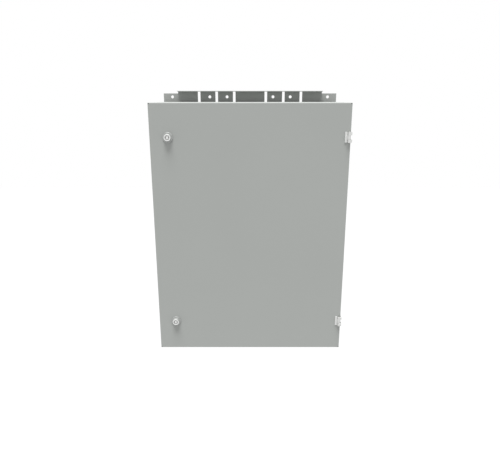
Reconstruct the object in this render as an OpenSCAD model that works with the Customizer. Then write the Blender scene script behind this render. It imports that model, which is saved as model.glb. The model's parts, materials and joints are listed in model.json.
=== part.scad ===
// Wall-mount thermal cabinet: an insulated sheet-steel case with a hinged door, two quarter-turn
// latches, slotted brackets for a wall or a pole, and a heater switched by a thermostat.
// Millimetres. X runs to the right, Y towards the wall and Z up. The wall is the plane y = 0,
// and the origin is the centre of the four outer wall bolts.

/* [Cabinet] */
// Width of the cabinet and of its door
cabinet_w = 600; // [560:10:760]
// Height of the cabinet and of its door
cabinet_h = 800; // [740:10:1000]
// Depth from the rear wall to the front of the door
cabinet_d = 250; // [235:5:320]
// Thickness of the folded sheet steel
sheet = 1.5; // [1.2:0.1:2]
// Outside radius of the wrapped corners
corner_r = 5; // [4:0.5:8]
// Width of the rim around the door opening
rim_w = 26; // [25:0.5:30]
// Height of the rain lip that stands forward on the rim
lip_h = 10; // [8:0.5:10.5]
// Inside radius of the door opening's corners
opening_r = 12; // [10:1:20]

/* [Door] */
// Depth of the folded door edges
door_flange = 20; // [18:0.5:20.5]
// Gap between the door edges and the rim
door_gap = 3; // [2.5:0.25:4]
// Inside radius of the door's bends
bend_in_r = 0.3; // [0.2:0.1:1.5]
// Radius of the relief hole in each door corner
relief_r = 1.5; // [1:0.1:1.8]
// Distance of the relief holes from the door's edges
relief_inset = 2.8; // [2.5:0.1:4]
// Width of the foamed sealing ring
gasket_w = 16; // [12:1:17]
// Thickness of the insulation on the door
door_pad_t = 12; // [8:1:16]

/* [Brackets] */
// Distance from the wall to the rear of the cabinet
standoff = 25; // [22:1:32]
// Thickness of the bracket steel
bracket_t = 2; // [1.5:0.25:3]
// Width of the flanged part of a bracket
bracket_w = 500; // [460:2:520]
// Height of the flange above the cabinet
flange_rise = 36.6; // [34:0.2:42]
// Height of the end tabs above the cabinet
tab_rise = 28.5; // [26:0.5:30]
// Height of the bolt holes above the cabinet
hole_rise = 17; // [12:0.5:18]
// Distance between the two outer wall bolts
wall_bolt_span = 540; // [530:5:560]
// Distance between the middle pair of bolt holes
inner_bolt_span = 160; // [150:2:164]
// Distance between the next pair of bolt holes
outer_bolt_span = 280; // [272:2:290]
// Radius of the bolt holes
bolt_hole_r = 5; // [4:0.25:6]
// Width of the strap slots
slot_w = 9; // [7:0.5:11]
// Distance between neighbouring strap slots
slot_pitch = 61; // [58:0.5:62]
// Distance of the first strap slot from the middle
slot_first = 55; // [52:0.5:57]
// Depth of the bracket web below the cabinet's edge
web_drop = 60; // [54:1:70]
// Length of the lip bolted to the rear wall
foot_l = 28; // [26:1:36]

/* [Hinges] */
// Distance of each hinge from the cabinet's end
hinge_drop = 99.5; // [80:0.5:140]
// Height of a hinge
hinge_h = 31; // [29:0.5:38]
// Distance of the hinge axis from the cabinet's side
hinge_inset = 6; // [5:0.25:6.5]
// Radius of the knuckles
knuckle_r = 4; // [3.5:0.25:4.5]
// Radius of the hinge pin
pin_r = 1.9; // [1.5:0.1:2.2]
// Height of each arm of the hinge
arm_h = 9; // [8:0.5:10]
// Thickness of the hinge arms
arm_t = 2.2; // [2:0.1:3.5]
// Width of the leaf on the door's front
leaf_w = 18; // [17:0.5:24]
// Length of the leaf on the cabinet's side
leaf_l = 35; // [32:1:45]

/* [Latches] */
// Distance of the latches from the left edge
latch_inset = 55; // [54:0.5:58]
// Distance of each latch from the cabinet's end
latch_drop = 100; // [80:5:140]
// Radius of the latch flange
latch_flange_r = 15.5; // [14:0.5:17]
// Radius of the latch barrel
latch_barrel_r = 10.5; // [9.5:0.25:12]
// Height of the latch above the door
latch_rise = 13; // [11:0.5:18]
// Radius of the socket in the latch's face
socket_r = 7; // [6.5:0.25:7.5]
// Distance from the latch axis to the cam's tip
cam_reach = 42; // [38:1:43]
// Width of the cam
cam_w = 15; // [13:0.5:17]

/* [Equipment] */
// Thickness of the wall insulation
pad_t = 10; // [6:1:12]
// Margin between the mounting panel and the cabinet's outside
panel_margin = 36; // [32:1:44]
// Gap between the rear insulation and the mounting panel
panel_gap = 13; // [11:0.5:20]
// Height of the upper mounting rail above the middle
upper_rail_z = 170; // [150:5:220]
// Height of the lower mounting rail above the middle
lower_rail_z = -90; // [-120:5:-60]
// Length of the mounting rails
rail_l = 440; // [420:10:460]
// Distance of the thermostat from its rail's left end
thermostat_inset = 70; // [50:5:100]
// Number of terminal blocks
terminal_count = 8; // [4:1:10]
// Distance of the terminal row from its rail's right end
terminal_inset = 160; // [130:5:180]
// Distance of the heater from its rail's left end
heater_inset = 100; // [70:5:160]
// Height of the finned heater
heater_h = 110; // [90:5:130]
// Size of the heater's square fan
fan_size = 60; // [56:1:64]
// Number of cable glands
gland_count = 3; // [2:1:3]
// Distance between the cable glands
gland_pitch = 60; // [50:2:64]

/* [Hidden] */
$fn = 48;

// Colours
paint = [0.66, 0.67, 0.66];
zinc = [0.80, 0.80, 0.79];
black = [0.16, 0.16, 0.17];
foil = [0.78, 0.79, 0.80];
alu = [0.75, 0.76, 0.78];
pale = [0.82, 0.82, 0.80];
grey = [0.62, 0.63, 0.63];

// Overshoot of every cut, and the clearances that pieces share
cut = 1;
run_gap = 0.05;
thread_gap = 0.1;
seat_gap = 0.3;
hole_gap = 0.4;

// Planes of the cabinet, from the wall to the front
y_rear = -standoff;
y_rear_in = y_rear - sheet;
y_pad = y_rear_in - pad_t;
y_front = y_rear - cabinet_d;
y_door_in = y_front + sheet;
y_rim = y_front + door_flange + door_gap;
y_rim_in = y_rim + sheet;
y_lip = y_rim - lip_h;
x_side = cabinet_w / 2;
z_end = cabinet_h / 2;
x_in = x_side - sheet;
z_in = z_end - sheet;
opening_x = x_side - rim_w - sheet;
opening_z = z_end - rim_w - sheet;

// Wall insulation
pad_setback = 30;
y_pad_front = y_rim_in + pad_setback;
pad_edge = corner_r - sheet;
pad_joint = 1;
pad_hole_gap = 1;
door_pad_gap = 3;

// Door
bend_r = sheet + bend_in_r;

// Brackets
bracket_in_r = 2;
bracket_bend = bracket_t + bracket_in_r;
z_flange = z_end + flange_rise;
z_web = z_end - web_drop;
tab_drop = 40;
slot_end = 10;
bolt_r = 4;
bolt_flat = 13;
bolt_head = 5.5;
nut_t = 6.5;
bolt_tail = 5;
foot_bolt_inset = 27;
foot_bolt_inner = 90;
foot_bolts = [for (side = [-1, 1], x = [foot_bolt_inner, bracket_w / 2 - foot_bolt_inset]) side * x];
z_foot = z_web - bracket_in_r - foot_l / 2;
slots = [for (side = [-1, 1], i = [0 : 2]) side * (slot_first + i * slot_pitch)];
hole_spans = [wall_bolt_span, inner_bolt_span, outer_bolt_span];
wall_holes = [for (side = [-1, 1], span = hole_spans) side * span / 2];

// Hinges
hinge_face_gap = 0.7;
hinge_x = x_side - hinge_inset;
hinge_y = y_front - hinge_face_gap - knuckle_r;
hinge_z = z_end - hinge_drop;
leaf_t = 2.6;
leaf_setback = 4;
y_leaf = y_rim + leaf_setback;
arm_gap = 0.3;
x_arm = x_side + arm_gap;
y_strap = hinge_y - knuckle_r + arm_t;
middle_h = hinge_h - 2 * arm_h - 2 * seat_gap;
pin_head_r = 3.2;
pin_head_h = 1.4;
door_leaf_x = x_side - leaf_w;
leaf_edge = hinge_x - knuckle_r - hole_gap;
leaf_screw_r = 2;
leaf_screw_shift = 0.5;
leaf_screw_edge = 6;
leaf_screw_x = (door_leaf_x + leaf_edge) / 2 + leaf_screw_shift;
leaf_screw_z = hinge_h / 2 - leaf_screw_edge;
leaf_screw_depth = 1;
side_screw_r = 2.5;
side_screw_edge = 8;
side_screw_pitch = 14;
side_screw_y = [y_leaf + side_screw_edge, y_leaf + side_screw_edge + side_screw_pitch];
side_screw_in = 8;
side_nut_flat = 8;
side_nut_t = 4;

// Latches
latch_x = -x_side + latch_inset;
latch_z = z_end - latch_drop;
latch_seal_t = 0.8;
latch_flange_t = 2.2;
latch_chamfer = 0.6;
sleeve_r = 9.5;
sleeve_l = 13;
spindle_r = 6;
socket_d = 5;
latch_nut_flat = 27;
latch_nut_t = 5;
disc_t = 2.4;
bit_w = 4.4;
bit_l = 8.6;
bit_sink = 0.8;
cam_clear = 0.6;
cam_t = 3;
y_cam = y_rim_in + cam_clear;
drive = 8;
cam_boss_r = 9;
cam_screw_r = 2.5;
cam_screw_l = 9;
cam_head_r = 5.5;
cam_head_t = 3;
latch_room = 6;
latch_pad_r = latch_nut_flat / 2 + latch_room;

// Mounting panel
panel_x = x_side - panel_margin;
panel_z = z_end - panel_margin;
y_panel = y_pad - panel_gap - sheet;
panel_fold = 8;
panel_inset = 20;
stud_x = panel_x - panel_inset;
stud_z = panel_z - panel_inset;
stud_tail = 12;
y_stud = y_panel - stud_tail;
panel_corners = [for (sx = [-1, 1], sz = [-1, 1]) [sx * stud_x, sz * stud_z]];

// Mounting rails, a 35 mm top-hat section
rail_t = 1;
rail_flange = 17.5;
rail_hat = 13.5;
rail_d = 7.5;
y_rail = y_panel - rail_d;
rail_slot_l = 15;
rail_slot_w = 6.3;
rail_pitch = 25;
rail_slots = floor((rail_l - rail_pitch) / rail_pitch / 2);
rail_screw_r = 2.5;
rail_screw_head = 2.8;
rail_screw_x = rail_slots * rail_pitch;
clip_t = 2.4;
clip_d = 3;
clip_toe = 2;

// Thermostat
thermostat_w = 33;
thermostat_h = 62;
thermostat_d = 42;
thermostat_step = 9;
y_thermostat = y_rail - thermostat_d;
dial_r = 11;
dial_h = 7;
dial_shaft_r = 3;
dial_shaft_l = 10;
groove_w = 1.7;
dial_z = 4;
thermostat_slope = 2;
thermostat_x = thermostat_inset - rail_l / 2;
thermostat_z = upper_rail_z;

// Terminal blocks
terminal_w = 8;
terminal_gap = 0.2;
terminal_pitch = terminal_w + terminal_gap;
terminal_h = 46;
terminal_d = 40;
terminal_top = 22;
terminal_step = 14;
terminal_hole_r = 2;
terminal_x = rail_l / 2 - terminal_inset;
stop_w = 9;

// Heater and its fan
heater_x = heater_inset - rail_l / 2;
heater_side = 6;
heater_w = fan_size + 2 * heater_side;
fin_t = 2.2;
fin_count = 11;
heater_base = 5;
core_w = 16;
boss_r = 3.6;
fan_hole_inset = 5;
fan_hole = fan_size / 2 - fan_hole_inset;
fan_t = 25;
y_heater = y_rail - clip_t;
y_heater_mid = y_heater - fan_size / 2;
z_heater = lower_rail_z - heater_h / 2;
z_fan = z_heater - fan_t;
fan_wall = 1.6;
fan_bore_r = fan_size / 2 - fan_wall;
fan_screw_r = 1.9;
hub_r = 13;
fan_base_t = 3;
strut_w = 4;
rotor_gap = 0.6;
shaft_r = 1.5;
bearing_r = 4;
bearing_l = 9;
cup_t = 1.4;
blade_count = 7;
blade_t = 1.2;
blade_tip = 0.9;
blade_curve = 26;
blade_chord = 19;
blade_pitch = 42;
guard_w = 1.8;
guard_t = 1.5;
guard_rings = 4;
z_guard = z_fan - guard_t;

// Cable entry in the bottom wall
entry_y = (y_rim_in + y_pad) / 2;
entry_w = 220;
entry_d = 70;
plate_edge = 20;
seal_t = 2;
entry_screw_r = 2.5;
entry_flat = 8;
entry_head = 3.5;
entry_tail = 3;
entry_nut_t = 4;
gland_r = 10;
gland_flat = 24;
gland_collar = 6;
gland_lock = 5;
gland_neck = 9;
cap_r = 12;
cap_land = 1;
cap_h = 17;
cap_mouth_r = 7;
cap_gap = 0.4;
z_seal = -z_end - seal_t;
z_plate = z_seal - sheet;
gland_xs = [for (i = [0 : gland_count - 1]) (i - (gland_count - 1) / 2) * gland_pitch];
entry_screws = [for (sx = [-1, 0, 1], sy = [-1, 1])
    [sx * (entry_w + plate_edge) / 2, entry_y + sy * (entry_d + plate_edge) / 2]];

// Earth stud on the rear wall, below the panel
earth_x = 150;
earth_l = 38;
earth_gap = 1;
earth_z = -(panel_z + z_in - pad_t) / 2;

// Shared shapes

// Box between low and high values on each axis
module span(x, y, z) {
    translate([x[0], y[0], z[0]])
        cube([x[1] - x[0], y[1] - y[0], z[1] - z[0]]);
}

// Round bars along each axis
module rod_x(y, z, x, r) {
    translate([x[0], y, z]) rotate([0, 90, 0]) cylinder(r = r, h = x[1] - x[0]);
}

module rod_y(x, z, y, r) {
    translate([x, y[1], z]) rotate([90, 0, 0]) cylinder(r = r, h = y[1] - y[0]);
}

module rod_z(x, y, z, r) {
    translate([x, y, z[0]]) cylinder(r = r, h = z[1] - z[0]);
}

// Six-sided bars along Y and Z, sized across the flats
function hex_r(flat) = flat / 2 / cos(30);

module hex_y(x, z, y, flat) {
    translate([x, y[1], z]) rotate([90, 0, 0]) cylinder(r = hex_r(flat), h = y[1] - y[0], $fn = 6);
}

module hex_z(x, y, z, flat) {
    translate([x, y, z[0]]) cylinder(r = hex_r(flat), h = z[1] - z[0], $fn = 6);
}

// A flat shape drawn in X and Z, given a thickness along Y
module plate_y(y) {
    translate([0, y[1], 0]) rotate([90, 0, 0]) linear_extrude(y[1] - y[0]) children();
}

// A flat shape drawn in Y and Z, given a length along X
module strip_x(x) {
    translate([x[0], 0, 0]) rotate([90, 0, 90]) linear_extrude(x[1] - x[0]) children();
}

module rounded_rect(w, h, r) {
    square([w - 2 * r, h], center = true);
    square([w, h - 2 * r], center = true);
    for (sx = [-1, 1], sz = [-1, 1])
        translate([sx * (w / 2 - r), sz * (h / 2 - r)]) circle(r);
}

// Outline of the door opening, grown outwards
module opening_outline(grow) {
    rounded_rect(2 * (opening_x + grow), 2 * (opening_z + grow), opening_r + grow);
}

// Quarter of a bend in the first quadrant, about the origin
module bend(outer, thick) {
    intersection() {
        difference() {
            circle(outer);
            circle(outer - thick);
        }
        square(outer);
    }
}

// A hinge or latch drawn at mid height and carried to its end of the cabinet
module at_hinge(side) {
    translate([0, 0, side * hinge_z]) children();
}

module at_latch(side) {
    translate([latch_x, y_front, side * latch_z]) children();
}

// Cabinet

module cabinet_shell() {
    color(paint)
    difference() {
        union() {
            difference() {
                plate_y([y_rim, y_rear]) rounded_rect(cabinet_w, cabinet_h, corner_r);
                plate_y([y_rim_in, y_rear_in])
                    rounded_rect(2 * x_in, 2 * z_in, corner_r - sheet);
                plate_y([y_rim - cut, y_rim_in + cut]) opening_outline(0);
            }
            difference() {
                plate_y([y_lip, y_rim_in]) opening_outline(sheet);
                plate_y([y_lip - cut, y_rim_in + cut]) opening_outline(0);
            }
        }
        for (side = [-1, 1], x = foot_bolts)
            rod_y(x, side * z_foot, [y_rear_in - cut, y_rear + cut], bolt_r + hole_gap);
        for (side = [-1, 1], y = side_screw_y)
            rod_x(y, side * hinge_z, [x_in - cut, x_side + cut], side_screw_r + hole_gap);
        span([-entry_w / 2, entry_w / 2], [entry_y - entry_d / 2, entry_y + entry_d / 2],
            [-z_end - cut, -z_in + cut]);
        for (p = entry_screws)
            rod_z(p[0], p[1], [-z_end - cut, -z_in + cut], entry_screw_r + hole_gap);
    }
}

// Folded section of a bracket: flange over the cabinet, web on the wall, foot on the rear wall
module bracket_section() {
    translate([-bracket_bend, z_flange - bracket_bend]) bend(bracket_bend, bracket_t);
    translate([y_rear, z_flange - bracket_t]) square([standoff - bracket_bend, bracket_t]);
    translate([-bracket_t, z_web + bracket_bend])
        square([bracket_t, z_flange - z_web - 2 * bracket_bend]);
    translate([-bracket_bend, z_web + bracket_bend]) mirror([0, 1]) bend(bracket_bend, bracket_t);
    translate([y_rear + bracket_bend, z_web]) square([standoff - 2 * bracket_bend, bracket_t]);
    translate([y_rear + bracket_bend, z_web - bracket_in_r]) mirror([1, 0]) bend(bracket_bend, bracket_t);
    translate([y_rear, z_web - bracket_in_r - foot_l]) square([bracket_t, foot_l]);
}

module bracket() {
    difference() {
        union() {
            strip_x([-bracket_w / 2, bracket_w / 2]) bracket_section();
            span([-x_side, x_side], [-bracket_t, 0], [z_end - tab_drop, z_end + tab_rise]);
        }
        for (x = wall_holes)
            rod_y(x, z_end + hole_rise, [-bracket_t - cut, cut], bolt_hole_r);
        for (x = slots)
            span([x - slot_w / 2, x + slot_w / 2], [-bracket_bend - cut, cut],
                [z_web + slot_end, z_flange - bracket_t]);
        for (x = foot_bolts)
            rod_y(x, z_foot, [y_rear - cut, y_rear + bracket_t + cut], bolt_r + hole_gap);
    }
}

module upper_bracket() {
    color(paint) bracket();
}

module lower_bracket() {
    color(paint) mirror([0, 0, 1]) bracket();
}

module bracket_bolts() {
    seat = y_rear + bracket_t;
    color(zinc)
    for (side = [-1, 1], x = foot_bolts) {
        hex_y(x, side * z_foot, [seat, seat + bolt_head], bolt_flat);
        rod_y(x, side * z_foot, [y_rear_in - nut_t - bolt_tail, seat + cut], bolt_r);
    }
}

module bracket_nuts() {
    color(zinc)
    for (side = [-1, 1], x = foot_bolts)
        difference() {
            hex_y(x, side * z_foot, [y_rear_in - nut_t, y_rear_in], bolt_flat);
            rod_y(x, side * z_foot, [y_rear_in - nut_t - cut, y_rear_in + cut], bolt_r + thread_gap);
        }
}

// Hinges

// Arm that hooks round the door's edge to the knuckle in front of it
module hinge_arm_outline() {
    translate([hinge_x, hinge_y]) circle(knuckle_r);
    translate([hinge_x, y_strap - arm_t]) square([x_arm - hinge_x, arm_t]);
    translate([x_arm, y_strap]) mirror([0, 1]) bend(arm_t, arm_t);
    translate([x_arm, y_strap]) square([arm_t, y_leaf - y_strap]);
}

module hinge_side_leaf() {
    color(zinc)
    difference() {
        union() {
            span([x_side, x_arm + arm_t], [y_leaf, y_leaf + leaf_l], [-hinge_h / 2, hinge_h / 2]);
            for (side = [0, 1])
                mirror([0, 0, side]) translate([0, 0, hinge_h / 2 - arm_h])
                    linear_extrude(arm_h) hinge_arm_outline();
        }
        rod_z(hinge_x, hinge_y, [-hinge_h / 2 - cut, hinge_h / 2 + cut], pin_r + run_gap);
        for (y = side_screw_y) {
            rod_x(y, 0, [x_side - cut, x_arm + arm_t + cut], side_screw_r + hole_gap);
            translate([x_arm + arm_t - side_screw_r, y, 0]) rotate([0, 90, 0])
                cylinder(r1 = side_screw_r + hole_gap, r2 = 2 * side_screw_r + hole_gap, h = side_screw_r);
        }
    }
}

module upper_hinge_side_leaf() {
    at_hinge(1) hinge_side_leaf();
}

module lower_hinge_side_leaf() {
    at_hinge(-1) hinge_side_leaf();
}

module hinge_pins() {
    color(zinc)
    for (side = [-1, 1])
        at_hinge(side) {
            rod_z(hinge_x, hinge_y, [-hinge_h / 2 - seat_gap, hinge_h / 2 + seat_gap], pin_r);
            for (end = [0, 1])
                mirror([0, 0, end])
                    rod_z(hinge_x, hinge_y, [hinge_h / 2 + run_gap, hinge_h / 2 + pin_head_h], pin_head_r);
        }
}

module hinge_side_screws() {
    head = x_arm + arm_t;
    color(zinc)
    for (side = [-1, 1], y = side_screw_y)
        at_hinge(side) {
            rod_x(y, 0, [x_in - side_screw_in, head - side_screw_r + cut], side_screw_r);
            translate([head - side_screw_r, y, 0]) rotate([0, 90, 0])
                cylinder(r1 = side_screw_r, r2 = 2 * side_screw_r, h = side_screw_r);
        }
}

module hinge_side_nuts() {
    color(zinc)
    for (side = [-1, 1], y = side_screw_y)
        at_hinge(side)
            difference() {
                translate([x_in - side_nut_t, y, 0]) rotate([0, 90, 0])
                    cylinder(r = hex_r(side_nut_flat), h = side_nut_t, $fn = 6);
                rod_x(y, 0, [x_in - side_nut_t - cut, x_in + cut], side_screw_r + thread_gap);
            }
}

module hinge_door_leaf() {
    color(zinc)
    difference() {
        union() {
            span([door_leaf_x, leaf_edge], [y_front - leaf_t, y_front], [-hinge_h / 2, hinge_h / 2]);
            span([leaf_edge - cut, hinge_x], [hinge_y, y_front], [-middle_h / 2, middle_h / 2]);
            rod_z(hinge_x, hinge_y, [-middle_h / 2, middle_h / 2], knuckle_r);
        }
        rod_z(hinge_x, hinge_y, [-middle_h, middle_h], pin_r + run_gap);
        for (side = [-1, 1])
            rod_y(leaf_screw_x, side * leaf_screw_z, [y_front - leaf_t + leaf_screw_depth, y_front + cut],
                leaf_screw_r + thread_gap);
    }
}

module upper_hinge_door_leaf() {
    at_hinge(1) hinge_door_leaf();
}

module lower_hinge_door_leaf() {
    at_hinge(-1) hinge_door_leaf();
}

module hinge_door_screws() {
    color(zinc)
    for (side = [-1, 1], end = [-1, 1])
        at_hinge(side) {
            rod_y(leaf_screw_x, end * leaf_screw_z,
                [y_front - leaf_t + leaf_screw_depth + thread_gap, y_door_in + cut], leaf_screw_r);
            rod_y(leaf_screw_x, end * leaf_screw_z, [y_door_in, y_door_in + leaf_screw_r], 2 * leaf_screw_r);
        }
}

// Door

// Filled section of the door across one way, with rounded front edges; Y runs towards the rear
module pan_section(half, r) {
    translate([r - half, 0]) square([2 * (half - r), door_flange]);
    translate([-half, r]) square([2 * half, door_flange - r]);
    for (side = [-1, 1])
        translate([side * (half - r), r]) circle(r);
}

// Filled pan whose bent edges meet in mitred corners, set in from the door's outside
module pan(inset, r) {
    intersection() {
        linear_extrude(cabinet_h, center = true) pan_section(x_side - inset, r);
        rotate([0, -90, 0]) linear_extrude(cabinet_w, center = true) pan_section(z_end - inset, r);
    }
}

module door_panel() {
    color(paint)
    difference() {
        translate([0, y_front, 0]) pan(0, bend_r);
        translate([0, y_door_in, 0]) pan(sheet, bend_in_r);
        for (sx = [-1, 1], sz = [-1, 1])
            rod_y(sx * (x_side - relief_inset), sz * (z_end - relief_inset),
                [y_front - cut, y_front + bend_r], relief_r);
        for (side = [-1, 1]) {
            rod_y(latch_x, side * latch_z, [y_front - cut, y_door_in + cut], sleeve_r + hole_gap);
            for (end = [-1, 1])
                rod_y(leaf_screw_x, side * hinge_z + end * leaf_screw_z,
                    [y_front - cut, y_door_in + cut], leaf_screw_r + hole_gap);
        }
    }
}

module door_gasket() {
    color(black)
    plate_y([y_door_in, y_lip - seat_gap])
        difference() {
            opening_outline((sheet + gasket_w) / 2);
            opening_outline((sheet - gasket_w) / 2);
        }
}

module door_insulation() {
    color(foil)
    plate_y([y_door_in, y_door_in + door_pad_t])
        difference() {
            opening_outline((sheet - gasket_w) / 2 - door_pad_gap);
            for (side = [-1, 1])
                translate([latch_x, side * latch_z]) circle(latch_pad_r);
        }
}

// Latches, drawn with the door's face at the origin and turned about Y

module latch_turned() {
    rotate([90, 0, 0]) rotate_extrude() children();
}

module latch_housing() {
    flange_h = latch_seal_t + latch_flange_t;
    color(zinc)
    latch_turned()
        polygon([
            [spindle_r + run_gap, -sheet - sleeve_l],
            [sleeve_r, -sheet - sleeve_l],
            [sleeve_r, latch_seal_t],
            [latch_flange_r, latch_seal_t],
            [latch_flange_r, flange_h - latch_chamfer],
            [latch_flange_r - latch_chamfer, flange_h],
            [latch_barrel_r, flange_h],
            [latch_barrel_r, latch_rise - latch_chamfer],
            [latch_barrel_r - latch_chamfer, latch_rise],
            [socket_r + latch_chamfer / 2, latch_rise],
            [socket_r, latch_rise - latch_chamfer / 2],
            [socket_r, latch_rise - socket_d],
            [spindle_r + run_gap, latch_rise - socket_d]
        ]);
}

module upper_latch_housing() {
    at_latch(1) latch_housing();
}

module lower_latch_housing() {
    at_latch(-1) latch_housing();
}

module latch_seals() {
    color(black)
    for (side = [-1, 1])
        at_latch(side) latch_turned()
            translate([sleeve_r + thread_gap, 0])
                square([latch_flange_r - sleeve_r - latch_chamfer, latch_seal_t]);
}

module latch_nuts() {
    color(zinc)
    for (side = [-1, 1])
        at_latch(side)
            difference() {
                hex_y(0, 0, [sheet, sheet + latch_nut_t], latch_nut_flat);
                rod_y(0, 0, [0, sheet + latch_nut_t + cut], sleeve_r + thread_gap);
            }
}

// Turning insert: key bit in the socket, spindle through the housing and square end for the cam
module latch_insert() {
    floor_h = latch_rise - socket_d + run_gap;
    cam_y = y_cam - y_front;
    color(zinc)
    difference() {
        union() {
            rod_y(0, 0, [-floor_h - disc_t, -floor_h], socket_r - run_gap);
            rod_y(0, 0, [-floor_h - cut, cam_y], spindle_r);
            span([-drive / 2, drive / 2], [cam_y - cut, cam_y + cam_t], [-drive / 2, drive / 2]);
            span([-bit_w / 2, bit_w / 2], [bit_sink - latch_rise, -floor_h], [-bit_l / 2, bit_l / 2]);
            rod_y(0, 0, [bit_sink - latch_rise, -floor_h], bit_w * 2 / 3);
        }
        rod_y(0, 0, [cam_y + cam_t - cam_screw_l - cut, cam_y + cam_t + cut], cam_screw_r + thread_gap);
    }
}

module upper_latch_insert() {
    at_latch(1) latch_insert();
}

module lower_latch_insert() {
    at_latch(-1) latch_insert();
}

module latch_cam() {
    cam_y = y_cam - y_front;
    color(zinc)
    plate_y([cam_y, cam_y + cam_t])
        difference() {
            union() {
                circle(cam_boss_r);
                translate([-cam_w / 2, cam_w / 2 - cam_reach]) square([cam_w, cam_reach - cam_w / 2]);
                translate([0, cam_w / 2 - cam_reach]) circle(cam_w / 2);
            }
            square(drive + 2 * thread_gap, center = true);
        }
}

module upper_latch_cam() {
    at_latch(1) latch_cam();
}

module lower_latch_cam() {
    at_latch(-1) latch_cam();
}

module cam_screw() {
    back = y_cam - y_front + cam_t;
    color(zinc) {
        rod_y(0, 0, [back, back + cam_head_t], cam_head_r);
        rod_y(0, 0, [back - cam_screw_l, back + cut], cam_screw_r);
    }
}

module upper_cam_screw() {
    at_latch(1) cam_screw();
}

module lower_cam_screw() {
    at_latch(-1) cam_screw();
}

// Insulation

module side_pad() {
    side_z = z_in - pad_t - pad_joint;
    span([x_in - pad_t, x_in], [y_pad_front, y_pad], [-side_z, side_z]);
}

module end_pad() {
    span([pad_edge - x_in, x_in - pad_edge], [y_pad_front, y_pad], [z_in - pad_t, z_in]);
}

module left_insulation() {
    color(foil) mirror([1, 0, 0]) side_pad();
}

module right_insulation() {
    color(foil) side_pad();
}

module top_insulation() {
    color(foil) end_pad();
}

module bottom_insulation() {
    room_x = entry_w / 2 + plate_edge;
    room_y = entry_d / 2 + plate_edge;
    color(foil)
    difference() {
        mirror([0, 0, 1]) end_pad();
        span([-room_x, room_x], [entry_y - room_y, entry_y + room_y], [-z_in - cut, -z_in + pad_t + cut]);
    }
}

module rear_insulation() {
    deep = [y_pad - cut, y_rear_in + cut];
    color(foil)
    difference() {
        span([pad_edge - x_in, x_in - pad_edge], [y_pad, y_rear_in], [pad_edge - z_in, z_in - pad_edge]);
        for (side = [-1, 1], x = foot_bolts)
            rod_y(x, side * z_foot, deep, hex_r(bolt_flat) + pad_hole_gap);
        for (p = panel_corners)
            rod_y(p[0], p[1], deep, bolt_r + pad_hole_gap);
        rod_y(earth_x, earth_z, deep, bolt_r + pad_hole_gap);
    }
}

// Mounting panel and rails

module mounting_panel() {
    color(zinc)
    difference() {
        union() {
            span([-panel_x, panel_x], [y_panel, y_panel + sheet], [-panel_z, panel_z]);
            for (side = [0, 1])
                mirror([side, 0, 0])
                    span([panel_x - sheet, panel_x], [y_panel, y_panel + panel_fold], [-panel_z, panel_z]);
        }
        for (p = panel_corners)
            rod_y(p[0], p[1], [y_panel - cut, y_panel + sheet + cut], bolt_r + hole_gap);
        for (side = [-1, 1], z = [upper_rail_z, lower_rail_z])
            rod_y(side * rail_screw_x, z, [y_panel - cut, y_panel + sheet + cut],
                rail_screw_r + thread_gap);
    }
}

module panel_studs() {
    color(zinc)
    for (p = panel_corners)
        rod_y(p[0], p[1], [y_stud, y_rear_in], bolt_r);
}

module panel_nuts() {
    color(zinc)
    for (p = panel_corners, y = [y_panel - nut_t, y_panel + sheet])
        difference() {
            hex_y(p[0], p[1], [y, y + nut_t], bolt_flat);
            rod_y(p[0], p[1], [y - cut, y + nut_t + cut], bolt_r + thread_gap);
        }
}

module rail_section() {
    translate([y_panel - rail_t, -rail_hat]) square([rail_t, 2 * rail_hat]);
    for (side = [0, 1])
        mirror([0, side]) {
            translate([y_rail, rail_hat - rail_t]) square([rail_d, rail_t]);
            translate([y_rail, rail_hat - rail_t]) square([rail_t, rail_flange - rail_hat + rail_t]);
        }
}

module rail() {
    difference() {
        strip_x([-rail_l / 2, rail_l / 2]) rail_section();
        for (i = [1 - rail_slots : rail_slots - 1])
            span([i * rail_pitch - rail_slot_l / 2, i * rail_pitch + rail_slot_l / 2],
                [y_panel - rail_t - cut, y_panel + cut], [-rail_slot_w / 2, rail_slot_w / 2]);
        for (side = [-1, 1])
            rod_y(side * rail_screw_x, 0, [y_panel - rail_t - cut, y_panel + cut],
                rail_screw_r + thread_gap);
    }
}

module upper_rail() {
    color(zinc) translate([0, 0, upper_rail_z]) rail();
}

module lower_rail() {
    color(zinc) translate([0, 0, lower_rail_z]) rail();
}

module rail_screws() {
    seat = y_panel - rail_t;
    color(zinc)
    for (side = [-1, 1], z = [upper_rail_z, lower_rail_z]) {
        rod_y(side * rail_screw_x, z, [seat - rail_screw_head, seat], 2 * rail_screw_r);
        rod_y(side * rail_screw_x, z, [seat - cut, y_panel + panel_fold], rail_screw_r);
    }
}

// Hooks that hold a device on the rail's flanges, for a device of width w about x
module rail_hooks(x, w) {
    edge = rail_flange + hole_gap / 2;
    for (side = [0, 1])
        mirror([0, 0, side]) {
            span([x - w / 2, x + w / 2], [y_rail - cut, y_rail + clip_d], [edge, edge + clip_t]);
            span([x - w / 2, x + w / 2], [y_rail + rail_t + hole_gap / 2, y_rail + clip_d],
                [edge - clip_toe, edge + clip_t]);
        }
}

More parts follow.
